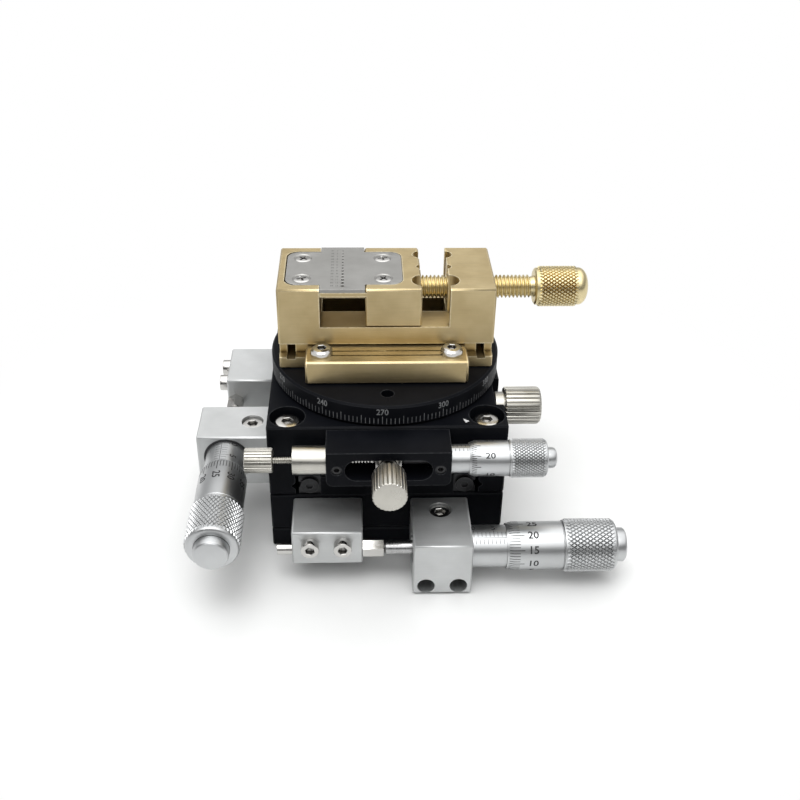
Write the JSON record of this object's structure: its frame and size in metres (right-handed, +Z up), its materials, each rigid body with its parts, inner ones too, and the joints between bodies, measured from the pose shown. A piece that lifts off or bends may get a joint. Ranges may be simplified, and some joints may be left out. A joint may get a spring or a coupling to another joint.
{
  "type": "three-axis microscope stage with vise",
  "caption": "Crossed-roller XY stage with micrometer heads, a graduated rotary table with tangent-arm fine drive, and a small brass vise clamped on top.",
  "frame": {"origin": "centre of the base plate's underside", "axes": "+X along the lower micrometer towards its knob, +Y away from the operator, +Z up, along the rotary table's axis"},
  "size_m": [0.1107, 0.0873, 0.0664],
  "materials": {
    "black_anodised": "black anodised, satin",
    "satin_aluminium": "clear anodised, matte",
    "brass": "brushed",
    "plate_steel": "matte ground",
    "stainless": "turned stainless",
    "hardened_steel": "ground",
    "satin_chrome": "satin chrome",
    "nickel": "bright nickel plate",
    "black_oxide": "black oxide"
  },
  "bodies": {
    "frame": {"base_plate": "black_anodised", "x_rails": "hardened_steel", "x_rail_end_screws": "black_oxide", "x_head_bracket": "satin_aluminium", "x_head_screws": "black_oxide", "x_head_clamp_screw": "stainless", "x_head_sleeve": "satin_chrome"},
    "x_cages": {"x_roller_cages": "hardened_steel"},
    "x_stage": {"x_block": "black_anodised", "y_rails": "hardened_steel", "y_rail_end_screws": "black_oxide", "x_anvil_bracket": "satin_aluminium", "x_anvil_screws": "stainless", "x_anvil": "stainless", "x_anvil_plug": "stainless", "y_head_bracket": "satin_aluminium", "y_head_screws": "black_oxide", "y_head_clamp_screw": "stainless", "y_head_sleeve": "satin_chrome"},
    "x_micrometer": {"x_thimble": "satin_chrome", "x_spindle": "hardened_steel"},
    "y_cages": {"y_roller_cages": "hardened_steel"},
    "y_stage": {"y_block": "black_anodised", "y_anvil_bracket": "satin_aluminium", "y_anvil_screws": "stainless", "y_anvil": "stainless", "y_anvil_plug": "stainless", "rotary_base": "black_anodised", "corner_screws": "stainless", "table_bearing": "hardened_steel", "brake_shoe": "brass", "fine_block": "black_anodised", "fine_block_screws": "stainless", "fine_grub_screws": "black_oxide", "theta_sleeve": "satin_chrome", "plunger_housing": "nickel"},
    "y_micrometer": {"y_thimble": "satin_chrome", "y_spindle": "hardened_steel"},
    "arm": {"fine_arm": "stainless", "clamp_pad": "brass"},
    "arm_clamp": {"clamp_thumbscrew": "nickel"},
    "theta_rod": {"theta_spindle": "hardened_steel"},
    "theta_drum": {"theta_thimble": "satin_chrome"},
    "plunger": {"plunger_pin": "stainless"},
    "preload": {"preload_screw": "nickel"},
    "lock": {"lock_screw": "nickel"},
    "table": {"rotary_table": "black_anodised", "table_retainer": "plate_steel", "vise_body": "brass", "front_clamp_bar": "brass", "rear_clamp_bar": "brass", "clamp_bar_screws": "stainless"},
    "jaw": {"moving_jaw": "brass", "gauge_plate": "plate_steel", "plate_screws": "stainless", "jaw_pins": "hardened_steel", "jaw_keeper": "brass"},
    "vise_drive": {"vise_screw": "brass"}
  },
  "joints": [
    {"name": "x_slide", "type": "slide", "parent": "frame", "child": "x_stage", "axis": [1, 0, 0], "range_m": [-0.0065, 0.0065]},
    {"name": "x_cage_slide", "type": "slide", "parent": "frame", "child": "x_cages", "axis": [1, 0, 0], "range_m": [-0.00325, 0.00325]},
    {"name": "x_turn", "type": "hinge", "parent": "x_stage", "child": "x_micrometer", "pos_m": [0.03, -0.0419, 0.0093], "axis": [1, 0, 0], "range_deg": [-4680, 4680]},
    {"name": "y_slide", "type": "slide", "parent": "x_stage", "child": "y_stage", "axis": [0, 1, 0], "range_m": [-0.0065, 0.0065]},
    {"name": "y_cage_slide", "type": "slide", "parent": "x_stage", "child": "y_cages", "axis": [0, 1, 0], "range_m": [-0.00325, 0.00325]},
    {"name": "y_turn", "type": "hinge", "parent": "y_stage", "child": "y_micrometer", "pos_m": [-0.0419, -0.03, 0.0205], "axis": [0, 1, 0], "range_deg": [-4680, 4680]},
    {"name": "fine_turn", "type": "hinge", "parent": "y_stage", "child": "arm", "pos_m": [0, 0, 0.0318], "axis": [0, 0, 1], "range_deg": [-4.88, 4.88]},
    {"name": "arm_clamp_turn", "type": "hinge", "parent": "arm", "child": "arm_clamp", "pos_m": [0, -0.045, 0.0319], "axis": [0, -1, 0], "range_deg": [0, 180]},
    {"name": "theta_advance", "type": "slide", "parent": "y_stage", "child": "theta_rod", "axis": [1, 0, 0], "range_m": [-0.003, 0.003]},
    {"name": "theta_turn", "type": "hinge", "parent": "theta_rod", "child": "theta_drum", "pos_m": [0.03, -0.0352, 0.0319], "axis": [1, 0, 0], "range_deg": [-2160, 2160]},
    {"name": "plunger_slide", "type": "slide", "parent": "y_stage", "child": "plunger", "axis": [1, 0, 0], "range_m": [-0.003, 0.003]},
    {"name": "preload_turn", "type": "hinge", "parent": "y_stage", "child": "preload", "pos_m": [-0.03, -0.0352, 0.0319], "axis": [-1, 0, 0], "range_deg": [-180, 180]},
    {"name": "lock_turn", "type": "hinge", "parent": "y_stage", "child": "lock", "pos_m": [0.035, -0.0162, 0.0348], "axis": [1, 0, 0], "range_deg": [0, 180]},
    {"name": "table_turn", "type": "hinge", "parent": "arm", "child": "table", "pos_m": [0, 0, 0.0438], "axis": [0, 0, 1], "continuous": true},
    {"name": "jaw_slide", "type": "slide", "parent": "table", "child": "jaw", "axis": [1, 0, 0], "range_m": [0, 0.0068]},
    {"name": "vise_turn", "type": "hinge", "parent": "jaw", "child": "vise_drive", "pos_m": [0.03, 0, 0.061], "axis": [1, 0, 0], "range_deg": [0, 2448]}
  ],
  "couplings": [
    {"joint": "x_turn", "follows": "x_slide", "rad_per_m": 12566},
    {"joint": "x_cage_slide", "follows": "x_slide", "ratio": 0.5},
    {"joint": "y_turn", "follows": "y_slide", "rad_per_m": 12566},
    {"joint": "y_cage_slide", "follows": "y_slide", "ratio": 0.5},
    {"joint": "theta_turn", "follows": "fine_turn", "ratio": 442.34},
    {"joint": "theta_advance", "follows": "fine_turn", "m_per_rad": 0.0352},
    {"joint": "plunger_slide", "follows": "fine_turn", "m_per_rad": 0.0352},
    {"joint": "vise_turn", "follows": "jaw_slide", "rad_per_m": 6283.2}
  ]
}
